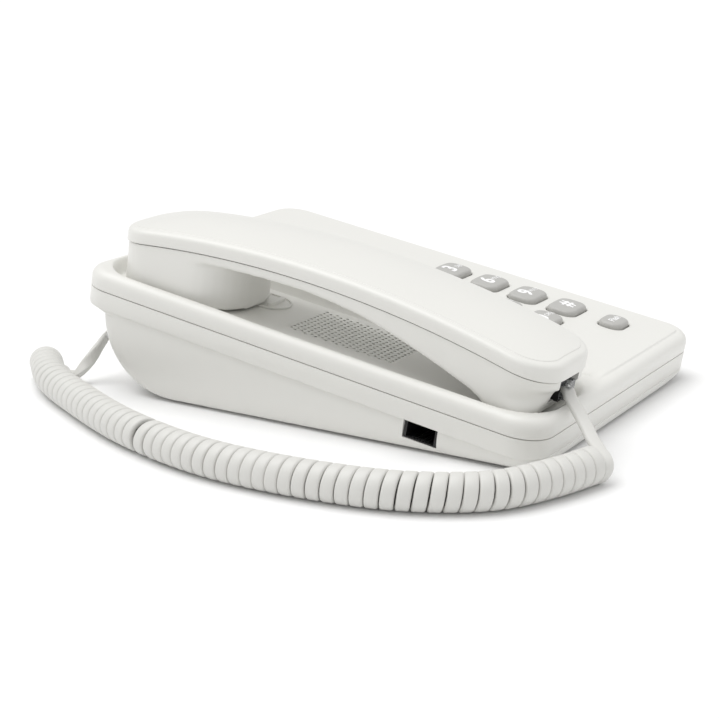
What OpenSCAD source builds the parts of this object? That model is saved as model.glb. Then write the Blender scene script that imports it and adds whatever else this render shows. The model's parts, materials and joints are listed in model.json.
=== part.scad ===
// Slim corded telephone for desk or wall: wedge base with a sloping face, a handset lying
// in a trough along its left side, a twelve-key pad with two function keys, and a curly
// flat handset cord.  Millimetres, +Z up, origin on the table under the middle of the phone;
// +X is the keypad side, -Y the front (low) end, +Y the rear (high) end.

/* [Base] */
// Width of the base, side to side
base_w = 150; // [148:1:154]
// Length of the base, front to rear
base_l = 200; // [198:1:204]
// Angle of the sloping face
slope = 9.1; // [8.8:0.1:9.4]
// Height of the case seam above the table at the front wall
front_h = 11.6; // [11.4:0.1:12.2]
// Height of the upper case above the seam
top_t = 8; // [7.8:0.1:8.4]
// Height of the upright band of the lower case below the seam
lip_h = 7.4; // [7.2:0.1:7.6]
// Plan radius of the base corners
corner_r = 13; // [11:1:15]
// Thickness of the case walls
wall = 2.2; // [2:0.1:2.3]

/* [Keys] */
// Distance between key columns
key_dx = 23; // [22.5:0.5:23.5]
// Distance between key rows
key_dy = 18; // [17.5:0.5:18]
// Width of a number key
key_w = 16.5; // [15:0.5:17]
// Depth of a number key, front to rear
key_d = 11.5; // [11:0.5:12]
// How far a key goes down
key_travel = 1.5; // [1:0.1:1.6]

/* [Handset] */
// Width of the handset
hand_w = 46; // [45:0.5:46.5]
// Length of the handset
hand_l = 189.5; // [188:0.5:190.5]
// Radius of the handset's arched back, at its seam
hand_arch = 455; // [450:5:470]
// Thickness of the handset above its seam
hand_top = 8.3; // [7.8:0.1:8.6]

/* [Cord] */
// Diameter of the coiled stretch
coil_d = 13.4; // [12:0.2:14]
// Diameter of the plain stretches
cord_d = 4; // [3.6:0.1:4]

/* [Hidden] */
$fn = 64;
fine = 720;
gap = 0.3;

// The sloping frame: x across, u up the slope from the front wall, v square to the seam.
tilt_l = base_l / cos(slope);
nose_v = 27.6;
front_y = -base_l / 2 + (nose_v * sin(slope) - lip_h * sin(slope) - 0.5) / 2;
centre_y = -1.59;
edge_r = 4;
step = 1.2;

// Lower case, in the upright frame
floor_z = 1.2;
rear_r = 28;
rear_flat_y = front_y + 166;
rear_wall_y = rear_flat_y + rear_r;
side_r = 16;
left_foot_x = -base_w / 2 + 3;
right_foot_x = 31;
wing_x = base_w / 2 - step - side_r;
wing_z = floor_z + 2.8;

// Handset trough in the upper case
tray_x0 = -base_w / 2 + 4.5;
tray_x1 = -20.5;
tray_u0 = 4;
tray_u1 = tilt_l - 5;
tray_v = 2.4;

// Keypad, in the sloping frame
key_x0 = 48 - 2 * key_dx;
key_u0 = 47.4;
fn_u = 26.3;
fn_w = 12;
fn_d = 9;
ceiling_v = top_t - wall - 0.5;
key_fit = 0.3;
key_high = 2;
key_r = 4;
flange = 1;
KEYS = ["star", "0", "hash", "7", "8", "9", "4", "5", "6", "1", "2", "3"];
FUNCTIONS = ["redial", "flash"];

// Handset, in the sloping frame
hand_x = -45.7;
hand_u0 = 3.5;
hand_mid = 101;
hand_v = 28;
hand_r = 15.5;
skin = 2;
grip_t = 4;
cup_v = 3.4;
ear_u0 = 138;
jack_x = -45;
jack_v = 12;
mic_x = hand_x - 9.5;
mic_u = 16.6;
screw_x = hand_x + 12.7;
HAND_SCREWS = [[31, 13], [184, 8]];

// Grille, hanger tab and hook plunger in the trough floor
grille_x = -43;
grille_u = 93;
grille_w = 26;
grille_l = 46;
grille_pitch = 4.4;
grille_r = 0.9;
tab_x = -38;
tab_u = 128;
tab_w = 16;
tab_l = 15;
tab_off = 2.8;
tab_slide = 5;
plunger_x = -56;
plunger_u = 166;
plunger_r = 3;

// Line socket in the left wall
line_u = 45.5;
line_v = -11.05;
line_w = 14;
line_h = 7.3;

// Socket for the handset cord in the rear wall
rear_x = -57;
rear_y = front_y + 197.5;
rear_z = 21;

// Feet, screws and wall keyholes, in the upright frame
FEET = [[-62, -84], [24, -84], [-62, 54], [24, 54]];
SCREWS = [[-65, -20], [-65, 48], [24, -62.7], [24, 40]];
KEYHOLES = [-50, 50];
keyhole_x = -20;
keyhole_r = 4.5;
keyslot_w = 4.4;
keyslot_l = 12;
foot_r = 5;
post_z = 9;

// Ringer switch in the right side of the lower case
ringer_u = 150;
ringer_v = -3.1;

// Cord routes: middle of the cord, chosen by hand
LEAD = [[-45.2, -97.9, 23.8], [-45.4, -100, 23.5], [-47.3, -102.2, 21.8], [-50.5, -104.3, 19.2],
        [-53.7, -107.8, 15.5], [-57.2, -113.5, 11.5], [-61, -118.5, 9], [-65, -121, 8]];
COIL = [[-67, -117, 6.7], [-88, -110, 6.7], [-109, -98, 6.7], [-124, -74, 6.7],
        [-131, -40, 6.7], [-131, 0, 6.7], [-120, 42, 6.7], [-102, 80, 6.7],
        [-86, 107, 6.7], [-70, 124, 6.7]];
TAIL = [[-69, 122, 4], [-64, 125, 3.5], [-60, 121, 4], [-59, 113, 6.5],
        [-58, 107, 12], [-57, 102.5, 18], [-57, 99.4, 21]];

shell_white = [0.93, 0.93, 0.91];
key_grey = [0.74, 0.74, 0.72];
rubber_grey = [0.35, 0.35, 0.35];
board_green = [0.10, 0.35, 0.18];
steel = [0.70, 0.71, 0.72];
dark_plastic = [0.08, 0.08, 0.08];
clear_plastic = [0.85, 0.88, 0.90];

// ---------------------------------------------------------------- helpers

// Height of the case seam above the table at y
function seam_z(y) = front_h + (y - front_y) * tan(slope);

// The sloping frame of the case seam
module tilted() {
    translate([0, front_y, front_h]) rotate([slope, 0, 0]) children();
}

// Rectangle with round corners, between two opposite corners
module plan(x0, x1, y0, y1, r) {
    translate([x0 + r, y0]) square([x1 - x0 - 2 * r, y1 - y0]);
    translate([x0, y0 + r]) square([x1 - x0, y1 - y0 - 2 * r]);
    for (x = [x0 + r, x1 - r], y = [y0 + r, y1 - r]) translate([x, y]) circle(r);
}

// Upright block on that outline
module block(x0, x1, y0, y1, z0, z1, r) {
    translate([0, 0, z0]) linear_extrude(z1 - z0) plan(x0, x1, y0, y1, r);
}

// The same block with its top edges rounded by e
module soft_block(x0, x1, y0, y1, z0, z1, r, e) {
    intersection() {
        block(x0, x1, y0, y1, z0, z1, r);
        translate([0, y1, 0]) rotate([90, 0, 0]) linear_extrude(y1 - y0) plan(x0, x1, z0 - 2 * e, z1, e);
        translate([x0, 0, 0]) rotate([90, 0, 90]) linear_extrude(x1 - x0) plan(y0, y1, z0 - 2 * e, z1, e);
    }
}

// Round-ended slot
module slot(l, w, h) {
    linear_extrude(h) {
        translate([-w / 2, 0]) square([w, l]);
        for (y = [0, l]) translate([0, y]) circle(w / 2);
    }
}

module tube(outer, inner, h) {
    difference() {
        cylinder(r = outer, h = h);
        translate([0, 0, -1]) cylinder(r = inner, h = h + 2);
    }
}

// Round bar swept along points as one polyhedron
function unit(v) = v / norm(v);
function heading(pts, i) = unit(pts[min(i + 1, len(pts) - 1)] - pts[max(i - 1, 0)]);
function ring(p, dir, r, sides) =
    let (a = unit(cross(dir, [0.1, 0.2, 1])), b = cross(dir, a))
    [for (k = [0:sides - 1]) p + r * (cos(360 * k / sides) * a + sin(360 * k / sides) * b)];
module swept(pts, r, sides) {
    n = len(pts);
    polyhedron(
        points = [for (i = [0:n - 1]) each ring(pts[i], heading(pts, i), r, sides)],
        faces = concat(
            [[for (k = [0:sides - 1]) k]],
            [[for (k = [sides - 1:-1:0]) (n - 1) * sides + k]],
            [for (i = [0:n - 2], k = [0:sides - 1])
                [i * sides + k, (i + 1) * sides + k,
                 (i + 1) * sides + (k + 1) % sides, i * sides + (k + 1) % sides]]),
        convexity = 6);
}

// ---------------------------------------------------------------- upper case

module top_blank(g) {
    soft_block(-base_w / 2 + g, base_w / 2 - g, g, tilt_l - g, 0, top_t - g, corner_r - g, edge_r - g);
}

module tray_cut() {
    block(tray_x0, tray_x1, tray_u0, tray_u1, tray_v, top_t + 1, 18);
}

// One opening for each key
module key_openings() {
    for (k = [0:11]) translate(key_place(k))
        block(-key_w / 2 - key_fit, key_w / 2 + key_fit, -key_d / 2 - key_fit, key_d / 2 + key_fit, 0, 20, key_r);
    for (k = [0:1]) translate(function_place(k))
        block(-fn_w / 2 - key_fit, fn_w / 2 + key_fit, -fn_d / 2 - key_fit, fn_d / 2 + key_fit, 0, 20, key_r);
}

module top_shell() {
    color(shell_white) {
        tilted() difference() {
            top_blank(0);
            difference() {
                translate([0, 0, -0.5]) top_blank(wall);
                block(-base_w / 2, tray_x1 + wall, 0, tilt_l, -1, 20, 1);
            }
            tray_cut();
            key_openings();
            block(grille_x - grille_w / 2, grille_x + grille_w / 2,
                  grille_u - grille_l / 2, grille_u + grille_l / 2, -1, 20, 3);
            translate([tab_x, tab_u + 5, -1]) slot(tab_slide, 4.4, 10);
            translate([plunger_x, plunger_u, -1]) cylinder(r = plunger_r + 0.1, h = 10);
        }
        tilted() for (p = BOARD_SCREWS) translate([p[0], p[1], -1.75]) tube(2.6, 1.05, ceiling_v + 2);
        for (p = SCREWS) translate([p[0], p[1], post_z + 0.1])
            tube(3, 1.35, seam_z(p[1]) - post_z + (p[0] > 0 ? ceiling_v + 0.5 : 0.9));
    }
}

// Perforated panel set in the trough floor over the ringer speaker
module speaker_grille() {
    nx = floor((grille_w - 4) / grille_pitch);
    nu = floor((grille_l - 4) / grille_pitch);
    color(shell_white) tilted() translate([grille_x, grille_u, 0.4]) linear_extrude(tray_v - 0.6) difference() {
        plan(-grille_w / 2 + 0.05, grille_w / 2 - 0.05, -grille_l / 2 + 0.05, grille_l / 2 - 0.05, 2.95);
        for (i = [0:nx], j = [0:nu])
            translate([(i - nx / 2) * grille_pitch, (j - nu / 2) * grille_pitch]) circle(grille_r, $fn = 16);
    }
}

// ---------------------------------------------------------------- lower case

// Outline seen from the side, shrunk by g: flat bottom that sweeps up into the rear wall
module side_outline(g) {
    translate([front_y - 10, floor_z + g]) square([rear_flat_y - front_y + 10, 90]);
    translate([rear_flat_y, floor_z + rear_r]) circle(rear_r - g, $fn = 128);
    translate([rear_flat_y - 1, floor_z + rear_r]) square([rear_r + 1 - g, 60]);
}

// Outline seen from the front, shrunk by g: raised wing under the keypad side
module front_outline(g) {
    polygon([[left_foot_x + g, floor_z + g], [right_foot_x, floor_z + g],
        [right_foot_x + 6, floor_z + 2.4 + g], [wing_x, wing_z + g], [wing_x, 90],
        [-base_w / 2 + step + g, 90], [-base_w / 2 + step + g, 36]]);
    translate([wing_x, wing_z + side_r]) circle(side_r - g, $fn = 128);
    translate([wing_x - 1, wing_z + side_r]) square([side_r + 1 - g, 60]);
}

module lower_form(g, v1) {
    intersection() {
        tilted() block(-base_w / 2 + step + g, base_w / 2 - step - g, step + g, tilt_l - step - g,
                       -60, v1, corner_r - step - g);
        translate([-base_w, 0, 0]) rotate([90, 0, 90]) linear_extrude(2 * base_w) side_outline(g);
        translate([0, base_l, 0]) rotate([90, 0, 0]) linear_extrude(2 * base_l) front_outline(g);
    }
}

module case_band(g, v0) {
    tilted() block(-base_w / 2 + g, base_w / 2 - g, g, tilt_l - g, v0, 0, corner_r - g);
}

module bottom_shell() {
    color(shell_white) difference() {
        union() {
            difference() {
                union() {
                    case_band(0, -lip_h);
                    lower_form(0, -lip_h);
                }
                translate([0, 0, 0.01]) case_band(wall, wall - lip_h);
                lower_form(wall, wall - lip_h + 0.02);
            }
            for (p = SCREWS) translate([p[0], p[1], floor_z]) cylinder(r = 4.2, h = post_z - floor_z);
        }
        for (p = SCREWS) translate([p[0], p[1], 0]) {
            cylinder(r = 3.1, h = 5);
            cylinder(r = 1.6, h = 20);
        }
        for (p = FEET) translate([p[0], p[1], 0]) cylinder(r = foot_r + 0.05, h = floor_z + 0.8);
        for (y = KEYHOLES) translate([keyhole_x, y, 0]) {
            cylinder(r = keyhole_r, h = 6);
            slot(keyslot_l, keyslot_w, 6);
        }
        tilted() {
            block(-80, -66, line_u - line_w / 2, line_u + line_w / 2,
                  line_v - line_h / 2, line_v + line_h / 2, 0.4);
            translate([60, ringer_u - 5, ringer_v - 1.7]) cube([20, 10, 3.4]);
        }
        translate([rear_x - 5.1, rear_y - 16, rear_z - 4.1]) cube([10.2, 30, 8.2]);
    }
}

// ---------------------------------------------------------------- parts in the trough

// Tab that holds the handset on a wall: thin D plate, a grip rib, and a stem through its slot
module hanger_tab() {
    color(shell_white) tilted() translate([tab_x, tab_u, 0]) {
        translate([tab_off, 0, tray_v + 0.02]) linear_extrude(0.75) {
            translate([0, tab_w / 2]) circle(tab_w / 2);
            translate([-tab_w / 2, tab_w / 2]) square([tab_w, tab_l - tab_w / 2]);
        }
        block(tab_off - 5.5, tab_off + 5.5, 6.2, 8.4, tray_v + 0.3, tray_v + 1.5, 1);
        translate([0, 10, -1.5]) cylinder(r = 2, h = tray_v + 1.8);
        block(-5, 5, 7, 13, -1.5, -0.1, 0.5);
    }
}

// Round pin that the ear end of the handset presses down
module hook_plunger() {
    color(shell_white) tilted() translate([plunger_x, plunger_u, 0]) {
        translate([0, 0, -8]) cylinder(r = plunger_r, h = 8 + cup_v - 0.2);
        translate([0, 0, -8]) cylinder(r = plunger_r + 1.5, h = 2);
    }
}

module hook_switch() {
    color(dark_plastic) tilted() translate([plunger_x, plunger_u, -20]) {
        difference() {
            block(-7, 7, -9, 9, 0, 11.6, 1);
            translate([0, 0, 2]) cylinder(r = plunger_r + 2, h = 20);
        }
    }
    color(dark_plastic) translate([plunger_x - 4, front_y + 161, floor_z + wall]) cube([8, 5, 13]);
}

// ---------------------------------------------------------------- keypad

function key_place(k) = [key_x0 + (k % 3) * key_dx, key_u0 + floor(k / 3) * key_dy, 0];
function function_place(k) = [key_x0 + 2 * k * key_dx, fn_u, 0];
BOARD_SCREWS = [[-9, 38], [60, 38], [-9, 110], [60, 110]];

module keycap(w, d) {
    soft_block(-w / 2, w / 2, -d / 2, d / 2, 4.4, top_t + key_high, key_r, 1.4);
    block(-w / 2 - flange, w / 2 + flange, -d / 2 - flange, d / 2 + flange, 4.3, ceiling_v - 0.2, key_r);
    translate([0, 0, 2.9]) cylinder(r = 2.5, h = 2);
}

module number_key(k) {
    color(key_grey) tilted() translate(key_place(k)) keycap(key_w, key_d);
}

module function_key(k) {
    color(key_grey) tilted() translate(function_place(k)) keycap(fn_w, fn_d);
}

// Room round the front screw post, which passes between the keys
module post_hole() {
    translate([SCREWS[2][0], (SCREWS[2][1] - front_y) / cos(slope), -6]) cylinder(r = 3.8, h = 8);
}

// Silicone sheet with one pressed-down dome under each key
module key_mat() {
    color(key_grey) tilted() difference() {
        union() {
            block(key_x0 - 14, key_x0 + 2 * key_dx + 9, fn_u - 8, key_u0 + 3 * key_dy + 10, -1.7, 0, 2);
            for (k = [0:11]) translate(key_place(k)) cylinder(r = 4.5, h = 1.2);
            for (k = [0:1]) translate(function_place(k)) cylinder(r = 3.5, h = 1.2);
        }
        for (p = BOARD_SCREWS) translate([p[0], p[1], -3]) cylinder(r = 3.2, h = 6);
        post_hole();
    }
}

module key_board() {
    color(board_green) tilted() difference() {
        block(key_x0 - 16, 66, fn_u - 10, 118, -3.4, -1.8, 1);
        for (p = BOARD_SCREWS) translate([p[0], p[1], -5]) cylinder(r = 1.2, h = 6);
        post_hole();
    }
}

module board_screws() {
    color(steel) tilted() for (p = BOARD_SCREWS) translate([p[0], p[1], 0]) {
        translate([0, 0, -4.9]) cylinder(r = 2.2, h = 1.45);
        translate([0, 0, -4]) cylinder(r = 1, h = 8);
    }
}

// ---------------------------------------------------------------- inside the base

module ringer_speaker() {
    color(dark_plastic) tilted() translate([grille_x - 1, grille_u, -9.5]) {
        cylinder(r = 11, h = 5);
        translate([0, 0, 4]) cylinder(r = 20, h = 4.5);
    }
}

module speaker_clamp() {
    color(shell_white) tilted() translate([grille_x - 1, grille_u, -7.6]) difference() {
        union() {
            cylinder(r = 22, h = 2);
            for (a = [45:90:315]) rotate(a) translate([21, 0, 0]) cylinder(r = 2, h = 7.6);
        }
        translate([0, 0, -1]) cylinder(r = 11.5, h = 20);
        translate([0, 0, 2]) cylinder(r = 20.2, h = 20);
    }
}

module ballast_plate() {
    color(steel) translate([0, 0, floor_z + wall]) block(-6, 26, -50, 30, 0, 3, 2);
}

// Modular socket: square block with a stepped mouth and a row of spring contacts
module socket(w, d, h, mouth_w, mouth_h, contacts) {
    difference() {
        translate([-w / 2, 0, -h / 2]) cube([w, d, h]);
        translate([-mouth_w / 2, -1, -mouth_h / 2]) cube([mouth_w, d - 1.5, mouth_h]);
    }
    for (i = [0:contacts - 1])
        translate([(i - (contacts - 1) / 2) * 1.27 - 0.3, 1, -mouth_h / 2 - 0.2]) cube([0.6, d - 2, 0.65]);
}

module line_jack() {
    color(dark_plastic) tilted() translate([-base_w / 2 + step + 1, line_u, line_v])
        rotate([0, 0, -90]) socket(line_w - 0.4, 15, line_h - 0.4, 11.4, 6.1, 6);
}

module rear_jack() {
    color(dark_plastic) translate([rear_x, rear_y - 5.5, rear_z])
        rotate([0, 0, 180]) socket(10, 13, 8, 8, 6.4, 4);
}

module ringer_slider() {
    color(shell_white) tilted() translate([base_w / 2 - wall - 1.4, ringer_u, ringer_v]) {
        translate([-1, -5.5, -2]) cube([1.9, 10, 4]);
        translate([0, -4.6, -1.5]) cube([3.5, 5.6, 3]);
    }
}

module ringer_switch() {
    color(dark_plastic) tilted() translate([base_w / 2 - wall - 12, ringer_u - 8, ringer_v - 3]) cube([9.5, 16, 6]);
}

module case_screws() {
    color(steel) for (p = SCREWS) translate([p[0], p[1], 3]) {
        cylinder(r = 2.8, h = 2);
        cylinder(r = 1.3, h = 14);
    }
}

module rubber_feet() {
    color(rubber_grey) for (p = FEET) translate([p[0], p[1], 0]) cylinder(r = foot_r, h = floor_z + 0.8);
}

// ---------------------------------------------------------------- handset

// Drum whose round side follows the arched back of the handset
module arch(r) {
    translate([hand_x - 40, hand_mid, hand_v - hand_arch]) rotate([0, 90, 0]) cylinder(r = r, h = 80, $fn = fine);
}

module hand_plan(g, v0, v1) {
    block(hand_x - hand_w / 2 + g, hand_x + hand_w / 2 - g, hand_u0 + g, hand_u0 + hand_l - g, v0, v1, hand_r - g);
}

module handset_upper_shell() {
    color(shell_white) tilted() difference() {
        intersection() {
            hand_plan(0, 0, 50);
            arch(hand_arch + hand_top);
        }
        arch(hand_arch + 0.1);
        intersection() {
            hand_plan(skin, 0, 50);
            arch(hand_arch + hand_top - skin);
        }
    }
    color(shell_white) tilted() intersection() {
        arch(hand_arch + hand_top - 1);
        for (p = HAND_SCREWS) translate([screw_x, p[0], p[1] + 3.1]) tube(2.6, 1.2, 30);
    }
}

// Side view of the mouthpiece: flat foot, front face leaning back, long throat up to the grip
module mouth_body(g) {
    translate([hand_x + hand_w / 2 - 0.5 - g, 0, 0]) rotate([90, 0, -90]) mirror([1, 0, 0])
        linear_extrude(hand_w - 1 - 2 * g)
            polygon([[0, cup_v + g], [23 - g / 2, cup_v + g], [31 - g / 2, 8.5 + g],
                [44 - g / 2, 12.9 + g], [55 - g / 2, 16.1 + g], [69 - g / 2, 19.8 + g],
                [79 - g, 21.8 + g], [97 - g, 23.8 + g], [97 - g, 40], [0, 40]]);
}

// Plan of the mouthpiece, its front face leaning back towards the foot
module mouth_lean(g) {
    hull() for (p = [[4.7, 18, 14.6], [9.6, cup_v, 16]])
        block(hand_x - hand_w / 2 + 0.5 + g, hand_x + hand_w / 2 - 0.5 - g, p[0] + g, 110,
              p[1], p[1] + (p[1] > cup_v ? 22 : 0.01), p[2] - g);
}

module mouth(g) {
    intersection() {
        mouth_body(g);
        mouth_lean(g);
    }
}

module ear_body(g) {
    block(hand_x - hand_w / 2 + 0.5 + g, hand_x + hand_w / 2 - 0.5 - g, ear_u0 + g,
          hand_u0 + hand_l - 1 - g, cup_v + g, 40, 20 - g);
}

module handset_lower_shell() {
    color(shell_white) tilted() difference() {
        intersection() {
            hand_plan(0.5, 0, 50);
            arch(hand_arch);
            union() {
                difference() {
                    hand_plan(0.5, 0, 50);
                    arch(hand_arch - grip_t);
                }
                mouth(0);
                ear_body(0);
            }
        }
        intersection() {
            hand_plan(0.5 + skin, 0, 50);
            union() {
                difference() {
                    hand_plan(0.5 + skin, 0, 50);
                    arch(hand_arch - grip_t + skin);
                }
                mouth(skin);
                ear_body(skin);
            }
            difference() {
                hand_plan(0, 0, 50);
                for (p = HAND_SCREWS) translate([screw_x, p[0], 0]) cylinder(r = 4, h = p[1] + 3);
            }
        }
        translate([jack_x - 9.3, -5, jack_v - 4.6]) cube([15.2, 17, 11]);
        for (i = [-2:2], j = [-2:2]) if (norm([i, j]) < 2.5)
            translate([hand_x + 4 * i, hand_u0 + hand_l - 26 + 4 * j, 0]) cylinder(r = 0.9, h = 8);
        for (i = [-1:1]) translate([mic_x + 3 * i, mic_u, 0]) cylinder(r = 0.8, h = 8);
        for (p = HAND_SCREWS) translate([screw_x, p[0], 0]) {
            cylinder(r = 2.6, h = p[1]);
            cylinder(r = 1.4, h = 40);
        }
    }
}

module handset_screws() {
    color(steel) tilted() for (p = HAND_SCREWS) translate([screw_x, p[0], p[1]]) {
        translate([0, 0, -1.6]) cylinder(r = 2.2, h = 1.55);
        translate([0, 0, -1.6]) cylinder(r = 1.15, h = 10);
    }
}

module receiver_capsule() {
    color(dark_plastic) tilted() translate([hand_x, hand_u0 + hand_l - 26, cup_v + skin + 1.3]) {
        cylinder(r = 17, h = 5);
        cylinder(r = 9, h = 9);
    }
}

module receiver_gasket() {
    color(rubber_grey) tilted() translate([hand_x, hand_u0 + hand_l - 26, cup_v + skin + 0.05]) tube(17, 13, 1.2);
}

module microphone_boot() {
    color(rubber_grey) tilted() translate([mic_x, mic_u, cup_v + skin + 0.05]) difference() {
        cylinder(r = 5.2, h = 5.5);
        translate([0, 0, 1]) cylinder(r = 4.25, h = 6);
        translate([0, 0, -1]) cylinder(r = 3, h = 6);
    }
}

module microphone_capsule() {
    color(steel) tilted() translate([mic_x, mic_u, cup_v + skin + 1.1]) cylinder(r = 4.2, h = 4);
}

module handset_weight() {
    color(steel) tilted() block(hand_x - 18, hand_x - 6, 30, 60, 20.5, 24, 1);
}

module handset_jack() {
    color(dark_plastic) tilted() translate([jack_x, 6.2, jack_v]) rotate([0, 90, 0]) socket(9, 12.5, 7.8, 7.9, 6.3, 4);
}

// ---------------------------------------------------------------- handset cord

// Four-way modular plug, tip at y = 0 and cord leaving at y = -12
module plug() {
    translate([-3.8, -12, -2.6]) cube([7.6, 12, 4.4]);
    translate([-1.6, -11, 1.8]) cube([3.2, 9, 1]);
}

module plug_handset() {
    color(clear_plastic) tilted() translate([jack_x, 15.2, jack_v]) rotate([0, 90, 0]) plug();
}

module plug_base() {
    color(clear_plastic) translate([rear_x, rear_y - 11.5, rear_z]) rotate([0, 0, 180]) plug();
}

module cord_lead() {
    color(shell_white) swept(LEAD, cord_d / 2, 8);
}

module cord_coil() {
    color(shell_white) swept(COIL, coil_d / 2, 12);
}

module cord_tail() {
    color(shell_white) swept(TAIL, cord_d / 2, 8);
}

// Puts the middle of the phone's outline over the origin
module centred() {
    translate([0, centre_y, 0]) children();
}

centred() top_shell();
centred() bottom_shell();
centred() speaker_grille();
centred() hanger_tab();
centred() hook_plunger();
centred() hook_switch();
centred() key_mat();
centred() key_board();
centred() board_screws();
centred() ringer_speaker();
centred() speaker_clamp();
centred() ballast_plate();
centred() line_jack();
centred() rear_jack();
centred() ringer_slider();
centred() ringer_switch();
centred() case_screws();
centred() rubber_feet();
centred() handset_upper_shell();
centred() handset_lower_shell();
centred() receiver_capsule();
centred() receiver_gasket();
centred() microphone_capsule();
centred() microphone_boot();
centred() handset_weight();
centred() handset_jack();
centred() handset_screws();
centred() plug_handset();
centred() plug_base();
centred() cord_lead();
centred() cord_coil();
centred() cord_tail();
for (k = [0:11]) centred() number_key(k);
for (k = [0:1]) centred() function_key(k);
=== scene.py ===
"""Slim corded telephone: the looks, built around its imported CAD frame.

The frame's sloping face carries everything that is seen, so most pieces are laid out in a sloping
frame of their own, in millimetres: x across the phone, u up the slope from the front wall and v
square to the case seam.  sloped() takes such points to the shared frame in metres.
"""

import json
import math

import bmesh
import bpy
import numpy as np
from mathutils import Matrix, Vector


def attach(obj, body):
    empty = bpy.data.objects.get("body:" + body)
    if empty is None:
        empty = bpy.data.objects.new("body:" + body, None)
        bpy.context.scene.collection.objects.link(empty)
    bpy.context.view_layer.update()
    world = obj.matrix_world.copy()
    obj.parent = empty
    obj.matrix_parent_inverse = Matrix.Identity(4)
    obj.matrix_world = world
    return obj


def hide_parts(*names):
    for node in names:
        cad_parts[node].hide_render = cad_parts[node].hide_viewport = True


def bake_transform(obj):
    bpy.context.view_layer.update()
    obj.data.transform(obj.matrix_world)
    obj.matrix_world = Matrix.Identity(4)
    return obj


bl_info = {
    "name": "Slim corded telephone",
    "version": (1, 0, 0),
    "blender": (4, 5, 0),
    "location": "View3D > Sidebar > Phone",
    "description": "Builds the visible pieces of a slim corded telephone on its CAD frame",
    "category": "Object",
}

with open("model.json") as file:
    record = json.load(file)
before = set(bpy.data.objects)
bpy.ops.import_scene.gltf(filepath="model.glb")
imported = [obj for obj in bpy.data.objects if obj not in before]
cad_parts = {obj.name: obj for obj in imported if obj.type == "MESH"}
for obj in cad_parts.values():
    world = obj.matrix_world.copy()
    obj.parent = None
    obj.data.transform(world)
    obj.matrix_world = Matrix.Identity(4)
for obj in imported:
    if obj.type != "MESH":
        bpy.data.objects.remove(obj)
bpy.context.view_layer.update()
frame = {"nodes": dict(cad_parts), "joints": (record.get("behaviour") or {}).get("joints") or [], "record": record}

MM = 0.001
X_AXIS = np.array([1.0, 0, 0])
LIFT = Vector(next(j["axis"] for j in frame["joints"] if j["name"] == "handset_lift"))
SLOPE = math.atan2(-LIFT.y, LIFT.z)
SEAM_FRONT = Vector((0, -98.65, 11.6))
CENTRE_Y = -1.59

# Case, in the sloping frame
CASE = (-75.0, 75.0, 0.0, 202.5)
CASE_R = 13.0
RIM_V = 7.4
FACE_V = 8.0
LIP_V = -7.4
WALL = 2.2

# Handset, in the sloping frame
HAND = (-68.7, -22.7, 3.5, 193.0)
HAND_R = 15.5
HAND_MID_X = -45.7
HAND_MID_U = 101.0
HAND_V = 28.0
ARCH_R = 455.0
CUP_V = 3.4

HAND_SCREWS = ((-33.0, 31, 13), (-33.0, 184, 8))

# Grille and hanger tab in the trough floor, in the sloping frame
GRILLE = (-53.8, -22.6, 71.0, 119.2)
TAB = (-35.2, 129.0, 8.0)

# Keys, in the sloping frame
KEY_X = (2.0, 25.0, 48.0)
KEY_U = 47.4
KEY_PITCH = 18.0
FUNCTION_U = 26.3
KEY_SIZE = (17.8, 12.5)
FUNCTION_SIZE = (13.4, 10.2)

# Routes of the cord, upright frame, millimetres
LEAD = [(-45.2, -94.6, 24.2), (-46.6, -96.6, 24), (-48.8, -98.9, 21.9), (-51.4, -102.8, 18.9),
        (-55.4, -107.6, 15.6), (-60, -112.5, 12.4), (-64.5, -117.5, 10.2), (-67.6, -121, 8.8)]
COIL = [(-67, -117, 6.7), (-88, -110, 6.7), (-109, -98, 6.7), (-124, -74, 6.7),
        (-131, -40, 6.7), (-131, 0, 6.7), (-120, 42, 6.7), (-102, 80, 6.7),
        (-86, 107, 6.7), (-70, 124, 6.7)]
TAIL = [(-66.5, 119.5, 3.4), (-69.5, 113, 3.2), (-70.5, 107.5, 4.2), (-66.5, 104.8, 8.6),
        (-60.5, 103.6, 14), (-57.4, 102, 18), (-57, 99.4, 20.5)]

# One wider gap between two turns: its size in pitches and its place along the coil, from 0 to 1
COIL_GAP = 0.45
COIL_GAP_AT = 0.612


# ------------------------------------------------------------------ settings

class PhoneCordSettings(bpy.types.PropertyGroup):
    width: bpy.props.FloatProperty(
        name="Cord width", description="Width of the flat cord", default=0.0048, unit="LENGTH")
    thickness: bpy.props.FloatProperty(
        name="Cord thickness", description="Thickness of the flat cord", default=0.0023, unit="LENGTH")
    coil: bpy.props.FloatProperty(
        name="Coil diameter", description="Outer diameter of the curly stretch", default=0.0134, unit="LENGTH")
    pitch: bpy.props.FloatProperty(
        name="Turn spacing", description="Distance from one turn to the next", default=0.00495, unit="LENGTH")


class PhoneColours(bpy.types.PropertyGroup):
    case: bpy.props.FloatVectorProperty(
        name="Case", description="Colour of the case and handset", subtype="COLOR", default=(0.79, 0.785, 0.75))
    keys: bpy.props.FloatVectorProperty(
        name="Keys", description="Colour of the keycaps", subtype="COLOR", default=(0.47, 0.465, 0.445))
    legends: bpy.props.FloatVectorProperty(
        name="Legends", description="Colour of the printed legends", subtype="COLOR", default=(0.95, 0.95, 0.95))
    cord: bpy.props.FloatVectorProperty(
        name="Cord", description="Colour of the cord jacket", subtype="COLOR", default=(0.69, 0.685, 0.655))


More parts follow.
